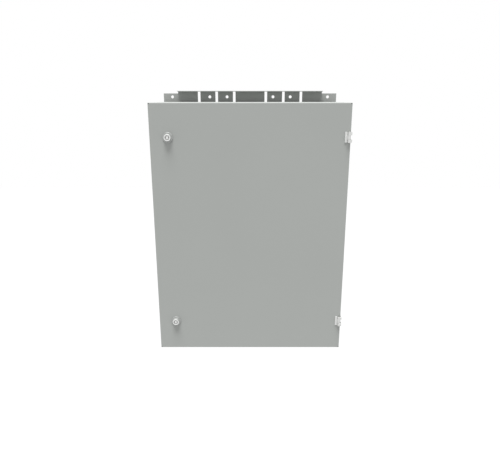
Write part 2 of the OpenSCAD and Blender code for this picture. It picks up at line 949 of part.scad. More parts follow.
// Thermostat: a stepped housing with a dial on its raised face
module thermostat_body() {
    half_w = thermostat_w / 2;
    half_h = thermostat_h / 2;
    y_step = y_thermostat + thermostat_step;
    terminal_z = half_h - thermostat_step / 2;
    color(pale)
    translate([0, 0, thermostat_z])
    difference() {
        union() {
            translate([thermostat_x, 0, 0]) strip_x([-half_w, half_w])
                polygon([
                    [y_rail, -half_h],
                    [y_rail, half_h],
                    [y_step, half_h],
                    [y_step, half_h - thermostat_step],
                    [y_thermostat, half_h - thermostat_step - thermostat_slope],
                    [y_thermostat, thermostat_step + thermostat_slope - half_h],
                    [y_step, thermostat_step - half_h],
                    [y_step, -half_h]
                ]);
            rail_hooks(thermostat_x, thermostat_w - thermostat_step);
        }
        rod_y(thermostat_x, dial_z, [y_thermostat - cut, y_thermostat + dial_shaft_l + cut],
            dial_shaft_r + run_gap);
        for (side = [-1, 1], i = [-1, 0, 1])
            rod_y(thermostat_x + i * thermostat_step, side * terminal_z,
                [y_step - cut, y_step + 2 * thermostat_step], terminal_hole_r);
    }
}

module thermostat_dial() {
    back = y_thermostat - seat_gap;
    color(black)
    translate([thermostat_x, 0, thermostat_z + dial_z])
    difference() {
        union() {
            rod_y(0, 0, [back - dial_h / 2, back], dial_r);
            rod_y(0, 0, [back - dial_h, back], dial_r * 2 / 3);
            rod_y(0, 0, [back - cut, back + dial_shaft_l], dial_shaft_r);
        }
        span([-groove_w / 2, groove_w / 2], [back - dial_h - cut, back - dial_h + dial_h / 3], [0, dial_r]);
    }
}

// Terminal blocks: one stepped outline per block, with screw and wire openings
module terminal_outline() {
    polygon([
        [y_rail, -terminal_h / 2],
        [y_rail, terminal_h / 2],
        [y_rail - terminal_step, terminal_h / 2],
        [y_rail - terminal_d, terminal_top / 2],
        [y_rail - terminal_d, -terminal_top / 2],
        [y_rail - terminal_step, -terminal_h / 2]
    ]);
}

module terminal_blocks() {
    wire_z = (terminal_h + terminal_top) / 4;
    color(grey)
    translate([0, 0, upper_rail_z])
    for (i = [0 : terminal_count - 1]) {
        x = terminal_x + i * terminal_pitch;
        difference() {
            union() {
                translate([x, 0, 0]) strip_x([-terminal_w / 2, terminal_w / 2]) terminal_outline();
                rail_hooks(x, terminal_w);
            }
            for (side = [-1, 1]) {
                rod_y(x, side * terminal_top / 3,
                    [y_rail - terminal_d - cut, y_rail - terminal_d + terminal_step], terminal_hole_r);
                rod_z(x, y_rail - terminal_d / 2,
                    side > 0 ? [wire_z, terminal_h] : [-terminal_h, -wire_z], terminal_hole_r);
            }
        }
    }
}

module terminal_stops() {
    row = terminal_count * terminal_pitch;
    first = terminal_x - terminal_pitch / 2;
    color(pale)
    translate([0, 0, upper_rail_z])
    for (x = [first - stop_w / 2, first + row + stop_w / 2]) {
        translate([x, 0, 0]) strip_x([terminal_gap - stop_w / 2, stop_w / 2 - terminal_gap])
            translate([y_rail - terminal_step, -terminal_h / 2])
                square([terminal_step, terminal_h]);
        rail_hooks(x, stop_w - 2 * terminal_gap);
    }
}

// Heater: an extruded finned block with a fan below it

module at_heater(z) {
    translate([heater_x, y_heater_mid, z]) children();
}

module heater_outline() {
    depth = fan_size;
    fin_pitch = (heater_w - fin_t) / (fin_count - 1);
    difference() {
        union() {
            translate([-heater_w / 2, depth / 2 - heater_base]) square([heater_w, heater_base]);
            translate([-core_w / 2, -depth / 4]) square([core_w, depth * 3 / 4]);
            for (i = [0 : fin_count - 1])
                translate([i * fin_pitch - heater_w / 2, -depth / 2]) square([fin_t, depth]);
            for (sx = [-1, 1], sy = [-1, 1])
                translate([sx * fan_hole, sy * fan_hole]) circle(boss_r);
        }
        for (sx = [-1, 1], sy = [-1, 1])
            translate([sx * fan_hole, sy * fan_hole]) circle(fan_screw_r + run_gap);
    }
}

module heater_block() {
    color(alu) at_heater(z_heater) linear_extrude(heater_h) heater_outline();
}

module heater_clip() {
    width = heater_w / 2;
    height = rail_flange + hole_gap + 2 * clip_t;
    color(zinc)
    translate([0, 0, lower_rail_z]) {
        span([heater_x - width / 2, heater_x + width / 2], [y_rail - clip_t, y_rail], [-height, height]);
        rail_hooks(heater_x, width);
    }
}

module fan_frame() {
    color(black)
    at_heater(z_fan)
    difference() {
        union() {
            difference() {
                span([-fan_size / 2, fan_size / 2], [-fan_size / 2, fan_size / 2], [0, fan_t]);
                rod_z(0, 0, [-cut, fan_t + cut], fan_bore_r);
            }
            rod_z(0, 0, [0, fan_base_t], hub_r);
            rod_z(0, 0, [0, fan_base_t + bearing_l], bearing_r);
            for (turn = [0 : 90 : 270])
                rotate(turn)
                    span([hub_r - cut, fan_bore_r + cut], [-strut_w / 2, strut_w / 2], [0, fan_base_t]);
        }
        rod_z(0, 0, [fan_base_t - cut, fan_t], shaft_r + run_gap);
        for (sx = [-1, 1], sy = [-1, 1])
            rod_z(sx * fan_hole, sy * fan_hole, [-cut, fan_t + cut], fan_screw_r + hole_gap);
    }
}

// Curved blade: part of a tube lying along the blade, cut off at the tip circle
module fan_blade(low, high) {
    tip = fan_bore_r - blade_tip;
    mid = (low + high) / 2;
    intersection() {
        rod_z(0, 0, [low, high], tip);
        translate([0, 0, mid]) rotate([blade_pitch, 0, 0])
            difference() {
                intersection() {
                    rod_x(0, -blade_curve, [hub_r - cut, fan_size], blade_curve);
                    span([hub_r - cut, fan_size], [-blade_chord / 2, blade_chord / 2],
                        [-fan_t / 2, fan_t / 2]);
                }
                rod_x(0, -blade_curve, [0, fan_size + cut], blade_curve - blade_t);
            }
    }
}

module fan_rotor() {
    low = fan_base_t + rotor_gap;
    high = fan_t - rotor_gap;
    color(black)
    at_heater(z_fan) {
        difference() {
            rod_z(0, 0, [low, high], hub_r);
            rod_z(0, 0, [low - cut, high - cup_t], hub_r - cup_t);
        }
        rod_z(0, 0, [low, high - cup_t / 2], shaft_r);
        for (i = [0 : blade_count - 1])
            rotate(i * 360 / blade_count) fan_blade(low, high);
    }
}

// Pressed guard of flat rings on four spokes, with an eye for each screw
module fan_guard() {
    ring_step = (fan_bore_r - bearing_r) / (guard_rings - 1);
    eye_x = fan_hole * sqrt(2);
    color(zinc)
    at_heater(z_guard)
    difference() {
        union() {
            for (i = [0 : guard_rings - 1])
                rotate_extrude()
                    translate([bearing_r + i * ring_step - guard_w / 2, 0]) square([guard_w, guard_t]);
            for (turn = [45 : 90 : 315])
                rotate(turn) {
                    span([bearing_r, eye_x], [-guard_w / 2, guard_w / 2], [0, guard_t]);
                    rod_z(eye_x, 0, [0, guard_t], 2 * fan_screw_r);
                }
        }
        for (sx = [-1, 1], sy = [-1, 1])
            rod_z(sx * fan_hole, sy * fan_hole, [-cut, guard_t + cut], fan_screw_r + run_gap);
    }
}

module fan_screws() {
    head = z_guard;
    color(zinc)
    for (sx = [-1, 1], sy = [-1, 1])
        at_heater(0)
            translate([sx * fan_hole, sy * fan_hole, 0]) {
                rod_z(0, 0, [head, z_heater + 2 * boss_r], fan_screw_r);
                rod_z(0, 0, [head - fan_screw_r, head], 2 * fan_screw_r);
            }
}

// Cable entry

module entry_outline() {
    square([entry_w + 2 * plate_edge, entry_d + 2 * plate_edge], center = true);
}

module entry_seal() {
    color(black)
    difference() {
        translate([0, entry_y, z_seal]) linear_extrude(seal_t)
            difference() {
                entry_outline();
                square([entry_w, entry_d], center = true);
            }
        for (p = entry_screws)
            rod_z(p[0], p[1], [z_seal - cut, cut - z_end], entry_screw_r + hole_gap);
    }
}

module entry_plate() {
    color(paint)
    difference() {
        translate([0, entry_y, z_plate]) linear_extrude(sheet) entry_outline();
        for (p = entry_screws)
            rod_z(p[0], p[1], [z_plate - cut, z_seal + cut], entry_screw_r + hole_gap);
        for (x = gland_xs)
            rod_z(x, entry_y, [z_plate - cut, z_seal + cut], gland_r + hole_gap);
    }
}

module entry_screws() {
    color(zinc)
    for (p = entry_screws) {
        hex_z(p[0], p[1], [z_plate - entry_head, z_plate], entry_flat);
        rod_z(p[0], p[1], [z_plate - cut, -z_in + entry_nut_t + entry_tail], entry_screw_r);
    }
}

module entry_nuts() {
    color(zinc)
    for (p = entry_screws)
        difference() {
            hex_z(p[0], p[1], [-z_in, -z_in + entry_nut_t], entry_flat);
            rod_z(p[0], p[1], [-z_in - cut, -z_in + entry_nut_t + cut], entry_screw_r + thread_gap);
        }
}

module gland_bodies() {
    collar = z_plate - gland_collar;
    color(pale)
    for (x = gland_xs)
        difference() {
            union() {
                hex_z(x, entry_y, [collar, z_plate], gland_flat);
                rod_z(x, entry_y, [collar - gland_neck, z_seal + gland_lock + entry_tail], gland_r);
            }
            rod_z(x, entry_y, [collar - gland_neck - cut, 0], cap_mouth_r);
        }
}

module gland_locknuts() {
    color(pale)
    for (x = gland_xs)
        difference() {
            hex_z(x, entry_y, [z_seal, z_seal + gland_lock], gland_flat);
            rod_z(x, entry_y, [z_seal - cut, z_seal + gland_lock + cut], gland_r + thread_gap);
        }
}

// Domed cap nut with six flats, open at the bottom for the cable
module gland_caps() {
    top = z_plate - gland_collar - cap_gap;
    color(pale)
    for (x = gland_xs)
        translate([x, entry_y, top])
        difference() {
            union() {
                rod_z(0, 0, [-cap_h / 2, 0], cap_r);
                hex_z(0, 0, [-cap_h / 2, -cap_land], 2 * cap_r);
                intersection() {
                    translate([0, 0, -cap_h / 2]) sphere(cap_r);
                    rod_z(0, 0, [-cap_h, -cap_h / 2], cap_r + cut);
                }
            }
            rod_z(0, 0, [-gland_neck, cut], gland_r + thread_gap);
            rod_z(0, 0, [-cap_h - cut, 0], cap_mouth_r + thread_gap);
        }
}

// Blank rubber plugs that close the glands until a cable is fitted
module gland_plugs() {
    low = z_plate - gland_collar - cap_gap - cap_h;
    color(black)
    for (x = gland_xs)
        rod_z(x, entry_y, [low, z_plate], cap_mouth_r - thread_gap);
}

// Earth stud

module earth_stud() {
    color(zinc) rod_y(earth_x, earth_z, [y_rear_in - earth_l, y_rear_in], bolt_r);
}

module earth_nuts() {
    color(zinc)
    for (i = [1, 2]) {
        y = y_pad - i * (nut_t + earth_gap);
        difference() {
            hex_y(earth_x, earth_z, [y, y + nut_t], bolt_flat);
            rod_y(earth_x, earth_z, [y - cut, y + nut_t + cut], bolt_r + thread_gap);
        }
    }
}

cabinet_shell();
upper_bracket();
lower_bracket();
bracket_bolts();
bracket_nuts();
upper_hinge_side_leaf();
lower_hinge_side_leaf();
hinge_pins();
hinge_side_screws();
hinge_side_nuts();
left_insulation();
right_insulation();
top_insulation();
bottom_insulation();
rear_insulation();
mounting_panel();
panel_studs();
panel_nuts();
upper_rail();
lower_rail();
rail_screws();
thermostat_body();
thermostat_dial();
terminal_blocks();
terminal_stops();
heater_block();
heater_clip();
fan_frame();
fan_rotor();
fan_guard();
fan_screws();
entry_seal();
entry_plate();
entry_screws();
entry_nuts();
gland_bodies();
gland_locknuts();
gland_caps();
gland_plugs();
earth_stud();
earth_nuts();
door_panel();
door_gasket();
door_insulation();
upper_hinge_door_leaf();
lower_hinge_door_leaf();
hinge_door_screws();
latch_seals();
latch_nuts();
upper_latch_housing();
lower_latch_housing();
upper_latch_insert();
lower_latch_insert();
upper_latch_cam();
lower_latch_cam();
upper_cam_screw();
lower_cam_screw();
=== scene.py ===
# %% [markdown]
# # A wall-mount thermal cabinet
# The construction comes in as a finished set of solids: a folded steel case, a hinged door, two
# latches, two slotted brackets and the heating equipment inside. This lesson gives those solids
# their finishes and the small parts that only the eye needs, then lights and frames them.
# Nothing here moves a solid, so every piece stays where the construction put it.

# %% Load the frame
import json
import math

import bmesh
import bpy
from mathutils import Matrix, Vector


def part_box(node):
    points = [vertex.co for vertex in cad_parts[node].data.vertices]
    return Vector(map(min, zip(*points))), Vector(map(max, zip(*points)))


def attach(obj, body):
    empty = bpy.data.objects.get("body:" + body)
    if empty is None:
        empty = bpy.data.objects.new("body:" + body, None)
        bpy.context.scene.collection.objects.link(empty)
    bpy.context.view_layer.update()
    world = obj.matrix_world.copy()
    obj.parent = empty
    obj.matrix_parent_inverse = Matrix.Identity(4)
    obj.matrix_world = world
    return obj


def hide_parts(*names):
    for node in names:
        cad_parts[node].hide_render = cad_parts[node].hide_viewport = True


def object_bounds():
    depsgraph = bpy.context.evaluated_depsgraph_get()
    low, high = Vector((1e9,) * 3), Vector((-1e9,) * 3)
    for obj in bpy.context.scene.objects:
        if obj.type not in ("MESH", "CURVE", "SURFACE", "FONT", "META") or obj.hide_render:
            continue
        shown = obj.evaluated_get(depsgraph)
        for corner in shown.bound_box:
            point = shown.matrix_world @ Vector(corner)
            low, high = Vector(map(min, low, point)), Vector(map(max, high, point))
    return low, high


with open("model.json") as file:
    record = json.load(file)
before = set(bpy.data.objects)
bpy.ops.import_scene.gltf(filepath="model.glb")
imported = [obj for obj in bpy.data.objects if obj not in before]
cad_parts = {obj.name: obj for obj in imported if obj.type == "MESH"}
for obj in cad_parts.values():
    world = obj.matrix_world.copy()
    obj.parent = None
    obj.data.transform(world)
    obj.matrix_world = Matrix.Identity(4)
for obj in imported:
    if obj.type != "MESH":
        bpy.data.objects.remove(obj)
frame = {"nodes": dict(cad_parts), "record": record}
cad_low, cad_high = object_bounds()

# %% [markdown]
# ## The camera
# The picture was taken straight on, from just above the top edge and tilted down, so the door's
# sides run together towards the bottom. A shifted lens could straighten them, but that would lose
# the taper that the picture shows. The focal length is worked out in pixels of a 500 pixel wide
# image, and the place is measured from the door's own box.

# %% Place the camera
IMAGE_W = 500
FOCAL_PX = 457.8
SENSOR_W = 36.0
PITCH = math.radians(15.483)
CAMERA_BACK = 1.3830
CAMERA_RISE = 0.0125
CAMERA_LEFT = 0.0001

door_low, door_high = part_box("door_panel")
lens = bpy.data.cameras.new("photo_camera")
lens.sensor_fit = "HORIZONTAL"
lens.sensor_width = SENSOR_W
lens.lens = FOCAL_PX / IMAGE_W * SENSOR_W
camera = bpy.data.objects.new("photo_camera", lens)
camera.location = (-CAMERA_LEFT, door_low[1] - CAMERA_BACK, door_high[2] + CAMERA_RISE)
camera.rotation_euler = (math.pi / 2 - PITCH, 0, 0)
bpy.context.collection.objects.link(camera)
bpy.context.scene.camera = camera
print("lens", round(lens.lens, 2), "mm, camera at", [round(c, 3) for c in camera.location])

# %% [markdown]
# ## One way to write shader sums
# Blender adds shader nodes one by one, and a sum of three terms would take a dozen lines. A small
# class wraps a socket, so that Python's own operators add the Math nodes. Every other kind of
# node comes from one method, which sets the node's options first and then its inputs.

# %% Socket class


class Value:
    """A shader socket that Python operators can reckon with."""

    def __init__(self, wiring, socket):
        self.wiring = wiring
        self.socket = socket

    def math(self, operation, *others, swap=False):
        terms = [self, *others]
        if swap:
            terms.reverse()
        return self.wiring.node("ShaderNodeMath", {"operation": operation}, dict(enumerate(terms)))

    def __add__(self, other):
        return self.math("ADD", other)

    def __radd__(self, other):
        return self.math("ADD", other, swap=True)

    def __sub__(self, other):
        return self.math("SUBTRACT", other)

    def __rsub__(self, other):
        return self.math("SUBTRACT", other, swap=True)

    def __mul__(self, other):
        return self.math("MULTIPLY", other)

    def __rmul__(self, other):
        return self.math("MULTIPLY", other, swap=True)

    def __gt__(self, other):
        return self.math("GREATER_THAN", other)

    def __lt__(self, other):
        return self.math("LESS_THAN", other)

    def __abs__(self):
        return self.math("ABSOLUTE")

    def sine(self):
        return self.math("SINE")


class Wiring:
    """A node tree, with one method that adds any kind of node."""

    def __init__(self, tree):
        self.tree = tree

    def node(self, kind, settings=None, inputs=None, out=0):
        made = self.tree.nodes.new(kind)
        for name, value in (settings or {}).items():
            setattr(made, name, value)
        for name, value in (inputs or {}).items():
            self.feed(made.inputs[name], value)
        return Value(self, made.outputs[out]) if made.outputs else made

    def feed(self, socket, value):
        if isinstance(value, Value):
            self.tree.links.new(value.socket, socket)
        else:
            socket.default_value = value


print("socket class ready")

# %% [markdown]
# ## A finish
# Every finish on the cabinet is one main shader with patterns that feed it. The patterns could be
# wrapped round each piece by an unwrapping, but they are laid out in the piece's own space, which
# needs no unwrapping and keeps its scale on every piece. A machined edge is never quite sharp, so
# the bump can start from normals that are rounded over each edge.

# %% Finish class
MIX_FACTOR, MIX_FIRST, MIX_SECOND, MIX_RESULT = 0, 6, 7, 2
EDGE_SAMPLES = 6


class Finish(Wiring):
    """A material: one main shader and the patterns that feed it."""

    def __init__(self, name, **sockets):
        self.material = bpy.data.materials.new(name)
        self.material.use_nodes = True
        super().__init__(self.material.node_tree)
        self.shader = self.tree.nodes["Principled BSDF"]
        self.place = self.node("ShaderNodeTexCoord", out="Object")
        self.set(**sockets)

    def set(self, **sockets):
        for name, value in sockets.items():
            self.feed(self.shader.inputs[name.replace("_", " ")], value)

    def axis(self, name):
        return self.node("ShaderNodeSeparateXYZ", inputs={0: self.place}, out=name)

    def facing(self, name):
        normal = self.node("ShaderNodeTexCoord", out="Normal")
        return self.node("ShaderNodeSeparateXYZ", inputs={0: normal}, out=name)

    def stretched(self, scales):
        inputs = {0: self.place, 1: scales}
        return self.node("ShaderNodeVectorMath", {"operation": "MULTIPLY"}, inputs)

    def noise(self, scale, detail=3.0, vector=None):
        inputs = {"Vector": vector or self.place, "Scale": scale, "Detail": detail}
        return self.node("ShaderNodeTexNoise", inputs=inputs, out="Fac")

    def cells(self, scale, out="Distance"):
        inputs = {"Vector": self.place, "Scale": scale}
        return self.node("ShaderNodeTexVoronoi", inputs=inputs, out=out)

    def mix(self, factor, first, second):
        inputs = {MIX_FACTOR: factor, MIX_FIRST: first, MIX_SECOND: second}
        return self.node("ShaderNodeMix", {"data_type": "RGBA"}, inputs, out=MIX_RESULT)

    def tones(self, factor, colour, spread):
        dark = [c * (1 - spread) for c in colour] + [1.0]
        light = [c * (1 + spread) for c in colour] + [1.0]
        return self.mix(factor, dark, light)

    def soft_edges(self, radius):
        settings = {"samples": EDGE_SAMPLES}
        return self.node("ShaderNodeBevel", settings, {"Radius": radius}, out="Normal")

    def bump(self, height, depth, strength=1.0, edges=0.0):
        inputs = {"Height": height, "Distance": depth, "Strength": strength}
        if edges:
            inputs["Normal"] = self.soft_edges(edges)
        return self.node("ShaderNodeBump", inputs=inputs, out="Normal")


print("finish class ready")

# %% [markdown]
# ## Light, floor and backdrop
# The picture is a plain studio view: an even white surround and one broad light high above the
# door, which lays a soft shadow straight below each latch. A sun lamp with a wide disc gives that
# shadow the same length at both latches, where a near panel would not.
# The world is white for the camera and for reflections, and a calmer grey for the light it sends,
# so that grey paint renders about as grey as it is written.

# %% Sun and world
SUN_ELEVATION = math.radians(78)
SUN_FROM_LEFT = math.radians(2)
SUN_STRENGTH = 5.5
SUN_DISC = math.radians(28)
FILL = 0.70
WHITE = (1.0, 1.0, 1.0, 1.0)

sun_lamp = bpy.data.lights.new("studio_sun", "SUN")
sun_lamp.energy = SUN_STRENGTH
sun_lamp.angle = SUN_DISC
sun = bpy.data.objects.new("studio_sun", sun_lamp)
sun.rotation_euler = (math.pi / 2 - SUN_ELEVATION, 0, 0)
sun.rotation_euler.rotate_axis("Y", -SUN_FROM_LEFT)
bpy.context.collection.objects.link(sun)

world = bpy.data.worlds.new("white_surround")
world.use_nodes = True
bpy.context.scene.world = world
sky = Wiring(world.node_tree)
sky.tree.nodes.clear()
by_camera, by_gloss, by_glass = (sky.node("ShaderNodeLightPath", out=f"Is {kind} Ray")
                                 for kind in ("Camera", "Glossy", "Transmission"))
seen = by_camera.math("MAXIMUM", by_gloss.math("MAXIMUM", by_glass))
fill, white = (sky.node("ShaderNodeBackground", inputs={"Color": WHITE, "Strength": strength})
               for strength in (FILL, 1.0))
either = sky.node("ShaderNodeMixShader", inputs={0: seen, 1: fill, 2: white})
sky.node("ShaderNodeOutputWorld", inputs={"Surface": either})
bpy.context.scene.view_settings.view_transform = "Standard"
print("sun", SUN_STRENGTH, "fill", FILL)

# %% [markdown]
# ## The floor
# The cabinet hangs on a wall, so the floor lies well below it and shows only from above, with a
# faint shadow. It could stand right under the case, but then it would throw light up the door
# that the picture doesn't have. A single large face is enough for it.

# %% Lay the floor
FLOOR_DROP = 1.8
FLOOR_HALF = 12.0
FLOOR_GREY = (0.42, 0.42, 0.42)
FLOOR_CLOUDS = 2.0

floor_z = cad_low[2] - FLOOR_DROP
corners = [(sx * FLOOR_HALF, sy * FLOOR_HALF, floor_z)
           for sx, sy in ((-1, -1), (1, -1), (1, 1), (-1, 1))]
floor_mesh = bpy.data.meshes.new("studio_floor")
floor_mesh.from_pydata(corners, [], [(0, 1, 2, 3)])
floor = bpy.data.objects.new("studio_floor", floor_mesh)
bpy.context.collection.objects.link(floor)
pale = Finish("pale_floor", Roughness=0.9)
pale.set(Base_Color=pale.tones(pale.noise(FLOOR_CLOUDS), FLOOR_GREY, spread=0.02))
floor_mesh.materials.append(pale.material)
print("floor at", round(floor_z, 2), "m")

# %% [markdown]
# ## Painted steel
# The case, the door and the brackets wear the same light grey powder coat. Up close such a coat is
# not flat: the powder melts into a fine orange peel, and its sheen drifts a little over a large
# panel. The peel could be carved into the mesh, but that would take millions of faces. A bump from
# fine noise gives it for nothing, and slow noises shift tone and roughness.

# %% Powder coat
COAT_GREY = (0.315, 0.327, 0.315)
DRIFT_SCALE = 4.0
SHEEN_SCALE = 9.0
SPECK_SCALE = 2600.0
PEEL_SCALE = 700.0
PEEL_DEPTH = 0.00004


def powder_coat(name):
    coat = Finish(name, Metallic=0.0, Specular_IOR_Level=0.2)
    drift = coat.noise(DRIFT_SCALE, detail=2.0)
    peel = coat.noise(PEEL_SCALE, detail=2.0)
    specks = coat.noise(SPECK_SCALE, detail=1.0)
    coat.set(Base_Color=coat.tones(drift * 0.6 + specks * 0.4, COAT_GREY, spread=0.04))
    coat.set(Roughness=0.50 + 0.10 * coat.noise(SHEEN_SCALE, detail=2.0))
    coat.set(Normal=coat.bump(peel, PEEL_DEPTH, strength=0.5))
    return coat.material


PAINT = powder_coat("powder_coat")
print("painted finish:", PAINT.name)

# %% [markdown]
# ## Bright metals
# The hinges are die-cast with a silver lacquer, whose fine flakes scatter light more evenly than
# bare metal does, so they are only partly metallic and get a soft grain. Rails, panel and
# fasteners are zinc-plated steel: full metals, whose look is a reflection colour and a roughness.
# One shared metal would do from afar, but plated sheet has pale patches of zinc crystals, which
# come from a pattern of cells, and a fastener has small stains instead.

# %% Cast, sheet and plated metal
LACQUER_METAL = 0.45
CLOUD_SCALE = 60.0
GRAIN_SCALE = 1800.0
GRAIN_DEPTH = 0.00003
MACHINED_EDGE = 0.0004
CRYSTAL_SCALE = 70.0
HAZE_SCALE = 12.0
RIPPLE_SCALE = 500.0
STAIN_SCALE = 220.0
PLATING_SCALE = 3000.0
PLATING_DEPTH = 0.00002


def cast_metal(name, colour, roughness):
    cast = Finish(name, Metallic=LACQUER_METAL)
    grain = cast.noise(GRAIN_SCALE)
    cast.set(Base_Color=cast.tones(cast.noise(CLOUD_SCALE), colour, spread=0.05))
    cast.set(Roughness=roughness + 0.12 * (grain - 0.5))
    cast.set(Normal=cast.bump(grain, GRAIN_DEPTH, strength=0.4, edges=MACHINED_EDGE))
    return cast.material


def zinc_sheet(name, colour):
    zinc = Finish(name, Metallic=1.0)
    tints = zinc.cells(CRYSTAL_SCALE, out="Color")
    crystal = zinc.node("ShaderNodeSeparateColor", inputs={0: tints}, out="Red")
    haze = zinc.noise(HAZE_SCALE)
    zinc.set(Base_Color=zinc.tones(crystal * 0.7 + haze * 0.3, colour, spread=0.10))
    zinc.set(Roughness=0.34 + 0.16 * crystal + 0.10 * haze)
    zinc.set(Normal=zinc.bump(zinc.noise(RIPPLE_SCALE), PLATING_DEPTH, strength=0.3))
    return zinc.material


def plated_fastener(name, colour):
    plated = Finish(name, Metallic=1.0)
    stain = plated.noise(STAIN_SCALE)
    plating = plated.noise(PLATING_SCALE, detail=1.0)
    plated.set(Base_Color=plated.tones(stain, colour, spread=0.12))
    plated.set(Roughness=0.28 + 0.2 * stain)
    plated.set(Normal=plated.bump(plating, PLATING_DEPTH, strength=0.4, edges=MACHINED_EDGE))
    return plated.material


HINGE_METAL = cast_metal("cast_hinge", (0.59, 0.595, 0.585), roughness=0.46)
ZINC_SHEET = zinc_sheet("zinc_sheet", (0.60, 0.61, 0.63))
FASTENER = plated_fastener("plated_fastener", (0.58, 0.58, 0.56))
GUARD = plated_fastener("bright_guard", (0.62, 0.63, 0.64))
print("metal finishes:", [m.name for m in (HINGE_METAL, ZINC_SHEET, FASTENER, GUARD)])

# %% [markdown]
# ## Threads and drawn lines
# The studs are threaded, and the heater's body is pressed through a die, which leaves long fine
# lines. A real helix could be swept round each stud, but at this size rings of a sine wave along
# the stud look the same. The lines are a noise that is stretched along the direction of pressing.

# %% Thread and die lines
STUD_PITCH = 0.00125
GRIME_SCALE = 260.0
THREAD_DEPTH = 0.0004
DIE_LINES = (1500.0, 1500.0, 6.0)
LINE_DEPTH = 0.00004


def threaded_stud(name, colour, pitch):
    thread = Finish(name, Metallic=1.0)
    turns = (thread.axis("Y") * (2 * math.pi / pitch)).sine()
    grime = thread.noise(GRIME_SCALE)
    # The thread rings also set the colour: darker in each root and lighter on each crest, a painted
    # shade and highlight of the thread, with random grime on top.
    thread.set(Base_Color=thread.tones(turns * 0.35 + grime * 0.3 + 0.35, colour, spread=0.35))
    thread.set(Roughness=0.30 + 0.2 * grime)
    thread.set(Normal=thread.bump(turns, THREAD_DEPTH))
    return thread.material


def drawn_metal(name, colour, scales):
    drawn = Finish(name, Metallic=1.0)
    lines = drawn.noise(1.0, detail=2.0, vector=drawn.stretched(scales))
    drawn.set(Base_Color=drawn.tones(lines, colour, spread=0.10))
    drawn.set(Roughness=0.3 + 0.18 * lines)
    drawn.set(Normal=drawn.bump(lines, LINE_DEPTH, strength=0.5))
    return drawn.material


STUD = threaded_stud("threaded_stud", (0.56, 0.56, 0.54), STUD_PITCH)
HEATER_ALLOY = drawn_metal("extruded_alloy", (0.62, 0.63, 0.64), DIE_LINES)
print("lined finishes:", STUD.name, HEATER_ALLOY.name)

# %% [markdown]
# ## Two zones on a latch
# A latch is lacquered like the hinges. Its face is bright, but its flange and its cast sides are
# dull and nearly the colour of the door. The floor of its key socket is painted darker than the
# key bit, a painted shade of the recess. Each zone could be a material of its own on chosen faces,
# but a mask leaves the solid as it is. The housing tells the face by the distance from the latch's
# axis and by the way the surface looks. The turning insert tells the key bit from the floor with
# its painted shade by depth.

# %% Latch finishes
LATCH_LOW, LATCH_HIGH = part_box("upper_latch_housing")
LATCH_X = (LATCH_LOW[0] + LATCH_HIGH[0]) / 2
LATCH_Z = (LATCH_LOW[2] + LATCH_HIGH[2]) / 2
BARREL_R = 0.0107
BIT_DEPTH = 0.0017
FACE_ON = -0.9
LATCH_BRIGHT = (0.71, 0.715, 0.705)
LATCH_DULL = (0.35, 0.36, 0.35)
# The socket floor's colour is painted shade: darker than the key bit, as the recess would be in
# shade.
SOCKET_PAINTED_SHADE = (0.50, 0.50, 0.49)
WEAR_SCALE = 140.0


def latch_finish(name, zone, zone_colour):
    latch = Finish(name, Metallic=LACQUER_METAL)
    grain = latch.noise(GRAIN_SCALE)
    wear = latch.noise(WEAR_SCALE)
    mask = zone(latch)
    bright = latch.tones(wear, LATCH_BRIGHT, spread=0.06)
    # The second tone is the dull flange colour on the housing, and painted shade on the insert's
    # socket floor.
    dull_and_painted_shade = latch.tones(wear, zone_colour, spread=0.1)
    latch.set(Base_Color=latch.mix(mask, bright, dull_and_painted_shade))
    latch.set(Roughness=0.50 + 0.06 * mask + 0.10 * (grain - 0.5))
    latch.set(Normal=latch.bump(grain, GRAIN_DEPTH, strength=0.4, edges=MACHINED_EDGE))
    return latch.material


def dull_zone(latch):
    across = latch.axis("X") - LATCH_X
    along = abs(latch.axis("Z")) - LATCH_Z
    flange = across * across + along * along > BARREL_R * BARREL_R
    return flange.math("MAXIMUM", latch.facing("Y") > FACE_ON)


# Everything deeper than the key bit's face takes the darker colour, a painted shade of the socket's
# recess.
def painted_shade_zone(latch):
    return latch.axis("Y") > LATCH_LOW[1] + BIT_DEPTH


LATCH_METAL = latch_finish("latch_housing_metal", dull_zone, LATCH_DULL)
INSERT_METAL = latch_finish("latch_insert_metal", painted_shade_zone, SOCKET_PAINTED_SHADE)
print("latch axis at", round(LATCH_X, 4), round(LATCH_Z, 4))

# %% [markdown]
# ## Insulation
# The walls are lined with closed-cell foam that has a foil face. The foil creases a little and
# shines, and the cut edges show dark grey foam with fine pores. Foil and foam could be two pieces,
# but a mask from the surface direction tells them apart, so one finish per direction is enough.

# %% Foil-faced foam
FACING = 0.5
CREASE_SCALE = 120.0
FOAM_PORES = 900.0
FOIL_RELIEF = 0.0004
FOIL_GREY = (0.40, 0.41, 0.42)
FOAM_GREY = (0.10, 0.105, 0.11)
FOIL_SIDE = {
    "left_insulation": (0, 1),
    "right_insulation": (0, -1),
    "top_insulation": (2, -1),
    "bottom_insulation": (2, 1),
    "rear_insulation": (1, -1),
    "door_insulation": (1, 1),
}


def foil_foam(name, face, sign):
    foam = Finish(name)
    foil = foam.facing(face) * sign > FACING
    creases = foam.noise(CREASE_SCALE, detail=5.0)
    pores = foam.cells(FOAM_PORES)
    shine = foam.tones(creases, FOIL_GREY, spread=0.10)
    body = foam.tones(pores, FOAM_GREY, spread=0.35)
    relief = foil * creases + (1 - foil) * pores
    foam.set(Base_Color=foam.mix(foil, body, shine))
    foam.set(Metallic=foil * 0.4)
    foam.set(Roughness=0.85 - foil * (0.48 - 0.16 * creases))
    foam.set(Normal=foam.bump(relief, FOIL_RELIEF, strength=0.5))
    return foam.material


FOIL = {node: foil_foam("foil_" + node, "XYZ"[face], sign)
        for node, (face, sign) in FOIL_SIDE.items()}
print("foil finishes:", len(FOIL))

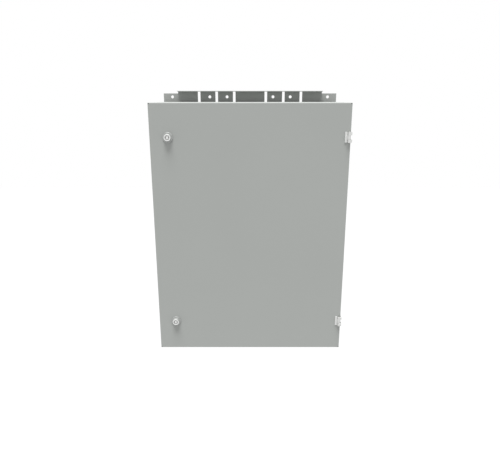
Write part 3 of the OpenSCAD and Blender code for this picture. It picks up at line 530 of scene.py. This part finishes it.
# %% [markdown]
# ## Seals
# The door's sealing ring and the small seals are black foam rubber. A plain black would lose their
# shape in the shade, so the rubber is a very dark grey with open pores, which catch a little light.

# %% Foam rubber
RUBBER_BLACK = (0.028, 0.028, 0.03)
RUBBER_PORES = 1100.0
RUBBER_DUST = 300.0
PORE_DEPTH = 0.00015


def soft_rubber(name):
    rubber = Finish(name, Metallic=0.0)
    pores = rubber.cells(RUBBER_PORES)
    rubber.set(Base_Color=rubber.tones(rubber.noise(CLOUD_SCALE), RUBBER_BLACK, spread=0.3))
    rubber.set(Roughness=0.72 + 0.2 * rubber.noise(RUBBER_DUST))
    rubber.set(Normal=rubber.bump(pores, PORE_DEPTH, strength=0.5))
    return rubber.material


RUBBER = soft_rubber("foam_rubber")
print("seal finish:", RUBBER.name)

# %% [markdown]
# ## Moulded plastic
# The thermostat and the glands are moulded with a fine spark texture that kills the gloss. Low
# roughness alone would look like glass, so a very fine noise breaks up both sheen and surface, and
# the moulded edges are a little rounder than machined ones.

# %% Plain mouldings
SPARK_SCALE = 2400.0
SPARK_DEPTH = 0.00003
SPARK_SHEEN = 0.14
TINT_SCALE = 40.0
MOULDED_EDGE = 0.0006


def moulded(name, colour, roughness):
    plastic = Finish(name, Metallic=0.0)
    spark = plastic.noise(SPARK_SCALE, detail=2.0)
    plastic.set(Base_Color=plastic.tones(plastic.noise(TINT_SCALE), colour, spread=0.05))
    plastic.set(Roughness=roughness + SPARK_SHEEN * (spark - 0.5))
    plastic.set(Normal=plastic.bump(spark, SPARK_DEPTH, strength=0.5, edges=MOULDED_EDGE))
    return plastic.material


PALE_PLASTIC = moulded("pale_plastic", (0.56, 0.57, 0.56), roughness=0.48)
DARK_PLASTIC = moulded("dark_plastic", (0.026, 0.026, 0.028), roughness=0.45)
print("moulded finishes:", PALE_PLASTIC.name, DARK_PLASTIC.name)

# %% [markdown]
# ## Terminal colours
# Terminals are told apart by colour: grey for live wires, blue for neutral and green with yellow
# for earth. The whole row is one solid, so the finish picks the colour by the place of each block
# in the row, where separate materials would need the row to be taken apart.

# %% Terminal plastic
TERMINAL_LOW, TERMINAL_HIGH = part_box("terminal_blocks")
TERMINAL_ROW_Z = (TERMINAL_LOW[2] + TERMINAL_HIGH[2]) / 2
TERMINAL_PITCH = 0.0082
COLOURED_BLOCKS = 3
BLUE_FROM = TERMINAL_HIGH[0] - COLOURED_BLOCKS * TERMINAL_PITCH
EARTH_FROM = TERMINAL_HIGH[0] - TERMINAL_PITCH
STRIPE_HALF = 0.006
TERMINAL_EDGE = 0.0005
LIVE_GREY = (0.36, 0.37, 0.37)
NEUTRAL_BLUE = (0.05, 0.16, 0.42)
EARTH_GREEN = (0.06, 0.30, 0.09, 1.0)
EARTH_YELLOW = (0.70, 0.55, 0.05, 1.0)


def terminal_plastic(name):
    plastic = Finish(name, Metallic=0.0)
    along = plastic.axis("X")
    spark = plastic.noise(SPARK_SCALE, detail=2.0)
    grey = plastic.tones(plastic.noise(TINT_SCALE), LIVE_GREY, spread=0.05)
    blue = plastic.tones(plastic.noise(TINT_SCALE), NEUTRAL_BLUE, spread=0.05)
    stripe = abs(plastic.axis("Z") - TERMINAL_ROW_Z) < STRIPE_HALF
    earth = plastic.mix(stripe, EARTH_GREEN, EARTH_YELLOW)
    wired = plastic.mix(along > BLUE_FROM, grey, blue)
    plastic.set(Base_Color=plastic.mix(along > EARTH_FROM, wired, earth))
    plastic.set(Roughness=0.42 + SPARK_SHEEN * (spark - 0.5))
    plastic.set(Normal=plastic.bump(spark, SPARK_DEPTH, strength=0.5, edges=TERMINAL_EDGE))
    return plastic.material


TERMINAL = terminal_plastic("terminal_plastic")
print("terminal finish:", TERMINAL.name)

# %% [markdown]
# ## Dressing the solids
# Each solid names the slot that its finish belongs to, so one table from slot to material dresses
# them all, where a line for each solid would be long and easy to get wrong. A second table holds
# the few that need a finish of their own: the foam pads, because each wall has its own foil
# direction, the latches' turning inserts and the threaded studs.

# %% Give every solid its finish
SLOT_FINISH = {
    "paint": PAINT,
    "hinge_metal": HINGE_METAL,
    "latch_metal": LATCH_METAL,
    "zinc_plate": ZINC_SHEET,
    "fastener": FASTENER,
    "seal": RUBBER,
    "pale_plastic": PALE_PLASTIC,
    "terminal_plastic": TERMINAL,
    "dark_plastic": DARK_PLASTIC,
    "heater_alloy": HEATER_ALLOY,
    "guard_wire": GUARD,
}
OWN_FINISH = {
    "upper_latch_insert": INSERT_METAL,
    "lower_latch_insert": INSERT_METAL,
    "panel_studs": STUD,
    "earth_stud": STUD,
}
OWN_FINISH.update(FOIL)
for part in frame["record"]["subparts"]:
    node = part["node"]
    finish = OWN_FINISH.get(node) or SLOT_FINISH[part["material_slot"]]
    mesh = frame["nodes"][node].data
    mesh.materials.clear()
    mesh.materials.append(finish)

# %% [markdown]
# ## Tools for new pieces
# The pads, the seal and the small parts are new meshes. Each one is smoothed except at its sharp
# edges, gets a finish, and is told which body it moves with. Some are made by cutting one shape
# with another. A cut could stay as a live modifier, but baking it in leaves a plain mesh that
# needs no helper. It also leaves faces with many corners, which are split into well-shaped
# triangles, so that the mesh has no slivers when another program opens it.

# %% Add and combine shapes
SHARP_DEG = 40.0
WELD = 0.000001
QUAD_CORNERS = 4


def add_piece(name, shape, finish, body, sharp=SHARP_DEG):
    mesh = bpy.data.meshes.new(name)
    bmesh.ops.recalc_face_normals(shape, faces=shape.faces)
    for side in shape.faces:
        side.smooth = True
    for edge in shape.edges:
        edge.smooth = edge.calc_face_angle(math.pi) < math.radians(sharp)
    shape.to_mesh(mesh)
    shape.free()
    mesh.materials.append(finish)
    piece = bpy.data.objects.new(name, mesh)
    bpy.context.collection.objects.link(piece)
    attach(piece, body)
    return piece


def as_object(name, shape):
    mesh = bpy.data.meshes.new(name)
    shape.to_mesh(mesh)
    shape.free()
    made = bpy.data.objects.new(name, mesh)
    bpy.context.collection.objects.link(made)
    return made


def welded(node):
    solid = bmesh.new()
    solid.from_mesh(frame["nodes"][node].data)
    bmesh.ops.remove_doubles(solid, verts=solid.verts, dist=WELD)
    return solid


def combined(first, second, operation):
    pair = [as_object("first", first), as_object("second", second)]
    step = pair[0].modifiers.new("step", "BOOLEAN")
    step.operation = operation
    step.solver = "EXACT"
    step.object = pair[1]
    made = bmesh.new()
    made.from_object(pair[0], bpy.context.evaluated_depsgraph_get())
    for spare in pair:
        bpy.data.objects.remove(spare)
    many_sided = [side for side in made.faces if len(side.verts) > QUAD_CORNERS]
    bmesh.ops.triangulate(made, faces=many_sided, ngon_method="BEAUTY")
    return made


print("shape tools ready")

# %% [markdown]
# ## Quilted pads
# A plain box is not what a foil-faced pad looks like: the foil is stitched through, so it swells
# between the seams. A cloth simulation could swell it, but foam that is glued to a wall neither
# hangs nor drapes, and a formula gives even cushions at once. Each pad starts as a slab whose
# front is a grid of shallow cushions. The slab is a little larger than the solid, and keeping only
# what lies inside the solid gives it the solid's exact outline with all its cut-outs, so the pad
# never takes more room than the construction gave it.

# %% A slab of cushions
QUILT = 0.048
QUILT_STEPS = 6
QUILT_DEPTH = 0.0026
QUILT_ROUND = 0.5
SKIN = 0.0001
OVERSIZE = 0.001


def cushion(u, v):
    swell = abs(math.sin(math.pi * u)) * abs(math.sin(math.pi * v))
    return QUILT_DEPTH * (1 - swell ** QUILT_ROUND)


def quilted_slab(low, high, face, sign):
    across = [a for a in range(3) if a != face]
    size = [high[a] - low[a] for a in across]
    seams = [max(1, round(s / QUILT)) for s in size]
    wide, tall = steps = [n * QUILT_STEPS for n in seams]
    front, back = (high[face], low[face]) if sign > 0 else (low[face], high[face])
    slab = bmesh.new()

    def point(i, j, depth):
        place = [0.0, 0.0, 0.0]
        for axis, k, n, length in zip(across, (i, j), steps, size):
            reach = -OVERSIZE if k == 0 else OVERSIZE if k == n else 0.0
            place[axis] = low[axis] + length * k / n + reach
        place[face] = depth
        return slab.verts.new(place)

    def swollen(i, j):
        return point(i, j, front - sign * (SKIN + cushion(i / QUILT_STEPS, j / QUILT_STEPS)))

    grid = [[swollen(i, j) for j in range(tall + 1)] for i in range(wide + 1)]
    for i in range(wide):
        for j in range(tall):
            slab.faces.new((grid[i][j], grid[i + 1][j], grid[i + 1][j + 1], grid[i][j + 1]))
    rim = [(i, 0) for i in range(wide)] + [(wide, j) for j in range(tall)]
    rim += [(i, tall) for i in range(wide, 0, -1)] + [(0, j) for j in range(tall, 0, -1)]
    rear = [point(i, j, back - sign * OVERSIZE) for i, j in rim]
    for k, (i, j) in enumerate(rim):
        n = (k + 1) % len(rim)
        slab.faces.new((grid[i][j], grid[rim[n][0]][rim[n][1]], rear[n], rear[k]))
    slab.faces.new(rear)
    bmesh.ops.recalc_face_normals(slab, faces=slab.faces)
    return slab


print("cushions of", QUILT, "m")

# %% [markdown]
# ### Fitting the pads
# Five pads line the case and one lines the door, so that one swings with the door. Each pad hides
# the plain solid that it stands for.

# %% Pads with seams
for node, (face, sign) in FOIL_SIDE.items():
    pad_low, pad_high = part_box(node)
    fitted = combined(quilted_slab(pad_low, pad_high, face, sign), welded(node), "INTERSECT")
    body = "door" if node == "door_insulation" else "cabinet"
    name = node.replace("insulation", "quilted_pad")
    pad = add_piece(name, fitted, FOIL[node], body)
    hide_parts(node)
    print(pad.name, len(pad.data.polygons), "faces")

# %% [markdown]
# ## The sealing bead
# The door's seal is foamed in place, so it is a soft round-topped bead and not a square bar. A
# curve with a bevel could make it, but a curve's bevel is round all over and the bead is flat where
# it sticks to the door. So a dome profile is carried round the same rounded rectangle as the solid.
# All points of a corner share one centre, so the bead keeps its width round the bend.

# %% Foamed bead
BEAD_CORNER = 0.02075
BEAD_W = 0.016
BEAD_POINTS = 12
BEAD_SHARP_DEG = 60.0
CORNER_STEPS = 8
DOME = 0.55

bead_low, bead_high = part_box("door_gasket")
bead_rise = bead_high[1] - bead_low[1] - SKIN
profile = []
for k in range(BEAD_POINTS + 1):
    turn = math.pi * k / BEAD_POINTS
    out = math.copysign(abs(math.cos(turn)) ** DOME, math.cos(turn)) * BEAD_W / 2
    profile.append((out, math.sin(turn) ** DOME * bead_rise))
ring_r = BEAD_CORNER - BEAD_W / 2
ring = [(ring_r + out, bead_low[1] + rise) for out, rise in profile]
sections = []
bead = bmesh.new()
for quarter, (sx, sz) in enumerate(((1, 1), (-1, 1), (-1, -1), (1, -1))):
    centre_x, centre_z = sx * (bead_high[0] - BEAD_CORNER), sz * (bead_high[2] - BEAD_CORNER)
    for step in range(CORNER_STEPS + 1):
        turn = math.pi / 2 * (quarter + step / CORNER_STEPS)
        places = [(centre_x + r * math.cos(turn), y, centre_z + r * math.sin(turn))
                  for r, y in ring]
        sections.append([bead.verts.new(place) for place in places])
for k, section in enumerate(sections):
    after = sections[(k + 1) % len(sections)]
    for i in range(len(section)):
        n = (i + 1) % len(section)
        bead.faces.new((section[i], section[n], after[n], after[i]))
gasket = add_piece("foamed_bead", bead, RUBBER, "door", sharp=BEAD_SHARP_DEG)
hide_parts("door_gasket")
print(gasket.name, len(sections), "sections")

# %% [markdown]
# ## Cross recesses
# The round-headed screws of the hinges, rails, latches and fan are driven by a cross-shaped
# recess. A dark cross could be painted on, but a cut one catches light along its edges from every
# side. The loose pieces of each set of screws give the place and width of every head, and a
# tapered cross is drawn for each, in shares of the head's radius.

# %% Heads and crosses
CROSS_SPAN = 0.56
CROSS_W = 0.13
CROSS_DEPTH = 0.36
CROSS_TAPER = 0.7


def loose_boxes(shape):
    boxes, met = [], set()
    for start in shape.verts:
        if start in met:
            continue
        met.add(start)
        group, waiting = [], [start]
        while waiting:
            vert = waiting.pop()
            group.append(vert.co)
            for edge in vert.link_edges:
                other = edge.other_vert(vert)
                if other not in met:
                    met.add(other)
                    waiting.append(other)
        boxes.append([(min(c), max(c)) for c in zip(*group)])
    return boxes


def cross_outline(long, half):
    outline = []
    for c, s in ((1, 0), (0, 1), (-1, 0), (0, -1)):
        for u, v in ((long, -half), (long, half), (half, half)):
            outline.append((u * c - v * s, u * s + v * c))
    return outline


def cross_cutter(shape, box, face, sign, turn):
    across = [a for a in range(3) if a != face]
    middle = [sum(box[a]) / 2 for a in across]
    head_r = (box[across[0]][1] - box[across[0]][0]) / 2
    top = box[face][1] if sign > 0 else box[face][0]
    rings = []
    for share, height in ((1.0, OVERSIZE), (CROSS_TAPER, -CROSS_DEPTH * head_r)):
        ring = []
        for u, v in cross_outline(CROSS_SPAN * head_r * share, CROSS_W * head_r * share):
            place = [0.0, 0.0, 0.0]
            place[across[0]] = middle[0] + u * math.cos(turn) - v * math.sin(turn)
            place[across[1]] = middle[1] + u * math.sin(turn) + v * math.cos(turn)
            place[face] = top + sign * height
            ring.append(shape.verts.new(place))
        rings.append(ring)
    for k in range(len(rings[0])):
        n = (k + 1) % len(rings[0])
        shape.faces.new((rings[0][k], rings[0][n], rings[1][n], rings[1][k]))
    for ring in rings:
        shape.faces.new(ring)


print("cross of", CROSS_SPAN, "of a head's radius")

# %% [markdown]
# ### Cutting them
# Each set of screws is copied, and its crosses are cut away in one step. Every cross is stopped at
# its own angle, as a fitter would leave it. The table says what each set moves with and to which
# side its heads point.

# %% Screws with a recess
CROSS_START = 0.4
CROSS_STEP = 1.1
CROSS_HEADS = {
    "hinge_side_screws": ("cabinet", 0, 1),
    "rail_screws": ("cabinet", 1, -1),
    "fan_screws": ("cabinet", 2, -1),
    "hinge_door_screws": ("door", 1, 1),
    "upper_cam_screw": ("upper_latch", 1, 1),
    "lower_cam_screw": ("lower_latch", 1, 1),
}
for node, (body, face, sign) in CROSS_HEADS.items():
    solid = welded(node)
    crosses = bmesh.new()
    boxes = loose_boxes(solid)
    for k, box in enumerate(boxes):
        cross_cutter(crosses, box, face, sign, turn=CROSS_STEP * k + CROSS_START)
    bmesh.ops.recalc_face_normals(crosses, faces=crosses.faces)
    recessed = combined(solid, crosses, "DIFFERENCE")
    screws = add_piece("cross_" + node, recessed, FASTENER, body)
    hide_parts(node)
    print(screws.name, len(boxes), "heads,", len(screws.data.polygons), "faces")

# %% [markdown]
# ## Low prisms
# The terminals' screw heads, the marks of the thermostat's scale and the dial's pointer are all low
# prisms along Y with a chamfered front. Each could be modelled by itself, but one function closes
# any outline into such a prism.

# %% Prism with a chamfer


def prism(shape, outline, front, back, chamfer):
    middle = [sum(c) / len(outline) for c in zip(*outline)]
    reach = max(math.dist(middle, point) for point in outline)

    def ring(y, inset):
        share = 1 - inset / reach
        drawn_in = [[m + (c - m) * share for m, c in zip(middle, point)] for point in outline]
        return [shape.verts.new((x, y, z)) for x, z in drawn_in]

    rings = [ring(front, chamfer), ring(front + chamfer, 0.0), ring(back, 0.0)]
    for first, second in zip(rings, rings[1:]):
        for k in range(len(outline)):
            n = (k + 1) % len(outline)
            shape.faces.new((first[k], first[n], second[n], second[k]))
    shape.faces.new(rings[0])
    shape.faces.new(rings[-1])


print("prism tool ready")

# %% [markdown]
# ## Terminal screws
# Every terminal is closed with a screwdriver, so a slotted head lies a little way down each screw
# hole, each stopped at its own angle. A slot could be cut out of a disc, but two half discs on a
# whole one leave the same slot with no cut at all.

# %% Slotted heads
HEAD_R = 0.00185
HEAD_SLOT = 0.0006
HEAD_RISE = 0.0008
HEAD_CHAMFER = HEAD_RISE / 4
HEAD_SINK = 0.0025
HEAD_STEPS = 12
HEAD_TURN = 2.4
TERMINAL_W = 0.008
TERMINAL_SCREW_Z = 0.00733
STEP_BACK = 0.009
STEP_SCREW_X = 0.009
STEP_SCREW_Z = 0.0265


def around(x, z, radius, angles):
    return [(x + radius * math.cos(a), z + radius * math.sin(a)) for a in angles]


def slotted_head(shape, x, y, z, turn):
    reach = math.acos(HEAD_SLOT / 2 / HEAD_R)
    for half in (0, math.pi):
        angles = [turn + half + reach * (2 * k / HEAD_STEPS - 1) for k in range(HEAD_STEPS + 1)]
        prism(shape, around(x, z, HEAD_R, angles), y, y + HEAD_RISE, HEAD_CHAMFER)
    whole = [math.pi * k / HEAD_STEPS for k in range(2 * HEAD_STEPS)]
    prism(shape, around(x, z, HEAD_R, whole), y + HEAD_RISE, y + 2 * HEAD_RISE, HEAD_CHAMFER)


body_low, body_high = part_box("thermostat_body")
body_z = (body_low[2] + body_high[2]) / 2
dial_low, dial_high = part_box("thermostat_dial")
dial_x, dial_z = ((dial_low[a] + dial_high[a]) / 2 for a in (0, 2))
block_count = round((TERMINAL_HIGH[0] - TERMINAL_LOW[0]) / TERMINAL_PITCH)
spots = []
for i in range(block_count):
    for side in (-1, 1):
        x = TERMINAL_LOW[0] + TERMINAL_W / 2 + i * TERMINAL_PITCH
        spots.append((x, TERMINAL_LOW[1], TERMINAL_ROW_Z + side * TERMINAL_SCREW_Z))
for i in (-1, 0, 1):
    for side in (-1, 1):
        x = dial_x + i * STEP_SCREW_X
        spots.append((x, body_low[1] + STEP_BACK, body_z + side * STEP_SCREW_Z))
heads = bmesh.new()
for k, (x, y, z) in enumerate(spots):
    slotted_head(heads, x, y + HEAD_SINK, z, turn=HEAD_TURN * k)
add_piece("terminal_screw_heads", heads, FASTENER, "cabinet")
print(len(spots), "screw heads")

# %% [markdown]
# ## The thermostat's scale
# The thermostat has a ring of printed marks round its dial, and a pale pointer lies in the dial's
# groove and turns with it. Marks could be a pattern in the finish, but thin raised ones stay crisp
# from close by. Every second mark is shorter, so that the eye can count them.

# %% Scale and pointer
SCALE_MARKS = 13
SCALE_START_DEG = 225
SCALE_SWEEP_DEG = 270
SCALE_FROM, SCALE_LONG, SCALE_SHORT = 0.0122, 0.0148, 0.0139
MARK_W = 0.0007
MARK_RISE = 0.00012
GROOVE_DEPTH = 0.00233
POINTER_HALF, POINTER_FROM, POINTER_TO = 0.0007, 0.0006, 0.0066

scale = bmesh.new()
for k in range(SCALE_MARKS):
    turn = math.radians(SCALE_START_DEG - SCALE_SWEEP_DEG * k / (SCALE_MARKS - 1))
    far = SCALE_SHORT if k % 2 else SCALE_LONG
    outline = []
    for radius, side in ((SCALE_FROM, -1), (far, -1), (far, 1), (SCALE_FROM, 1)):
        across = side * MARK_W / 2
        outline.append((dial_x + radius * math.cos(turn) - across * math.sin(turn),
                        dial_z + radius * math.sin(turn) + across * math.cos(turn)))
    prism(scale, outline, body_low[1] - MARK_RISE, body_low[1], MARK_RISE / 3)
add_piece("thermostat_scale", scale, DARK_PLASTIC, "cabinet")

pointer = bmesh.new()
groove_y = dial_low[1] + GROOVE_DEPTH
left, right = dial_x - POINTER_HALF, dial_x + POINTER_HALF
near, far = dial_z + POINTER_FROM, dial_z + POINTER_TO
outline = [(left, near), (right, near), (right, far), (dial_x, far + POINTER_HALF), (left, far)]
prism(pointer, outline, groove_y - 2 * MARK_RISE, groove_y, MARK_RISE / 2)
add_piece("dial_pointer", pointer, PALE_PLASTIC, "thermostat_dial")
print(SCALE_MARKS, "scale marks and a pointer")
